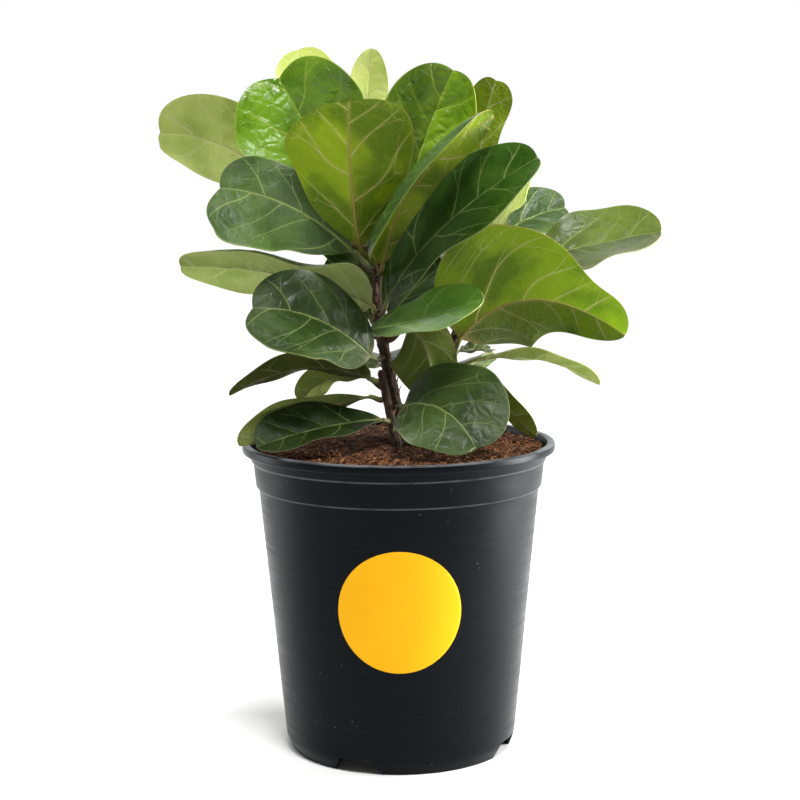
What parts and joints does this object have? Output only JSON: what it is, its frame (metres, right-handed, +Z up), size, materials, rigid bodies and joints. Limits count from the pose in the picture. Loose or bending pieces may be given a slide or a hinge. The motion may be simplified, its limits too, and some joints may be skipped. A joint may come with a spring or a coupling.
{
  "type": "potted fiddle leaf fig",
  "caption": "Fiddle leaf fig with broad, veined, wavy leaves on short woody stems, standing in soil in a tapered black nursery pot with a rolled lip and a plain round label.",
  "frame": {"origin": "on the floor, under the middle of the whole plant's bounding box; the pot's own axis stands 10 mm to its left, at x = -0.010", "axes": "+Z up along the pot's axis and the height of the plant, +X to the right as the label is looked at, -Y towards the side with the label"},
  "size_m": [0.411, 0.254, 0.5705],
  "materials": {
    "plastic": "satin",
    "label": "satin",
    "soil": "matte",
    "bark": "matte",
    "leaf_old": "satin",
    "leaf_bright": "satin",
    "leaf_glow": "satin",
    "leaf_under": "matte",
    "leaf_young": "satin"
  },
  "bodies": {
    "root": {"pot": "plastic", "label": "label", "soil": "soil", "stem_main": "bark", "stem_side": "bark", "stem_right": "bark", "leaf_01": "leaf_under", "leaf_02": "leaf_bright", "leaf_03": "leaf_old", "leaf_04": "leaf_glow", "leaf_05": "leaf_young", "leaf_06": "leaf_young", "leaf_07": "leaf_bright", "leaf_08": "leaf_glow", "leaf_09": "leaf_old", "leaf_10": "leaf_glow", "leaf_11": "leaf_old", "leaf_12": "leaf_old", "leaf_13": "leaf_old", "leaf_14": "leaf_young", "leaf_15": "leaf_young", "leaf_16": "leaf_under", "leaf_17": "leaf_old", "leaf_18": "leaf_under", "leaf_19": "leaf_under", "leaf_20": "leaf_old", "leaf_21": "leaf_under", "leaf_22": "leaf_old", "leaf_23": "leaf_under", "leaf_24": "leaf_old", "leaf_25": "leaf_under", "leaf_26": "leaf_under", "leaf_27": "leaf_old", "leaf_28": "leaf_old", "leaf_29": "leaf_old", "leaf_30": "leaf_old", "leaf_31": "leaf_old", "leaf_32": "leaf_old", "leaf_33": "leaf_old", "leaf_34": "leaf_bright"}
  },
  "joints": []
}
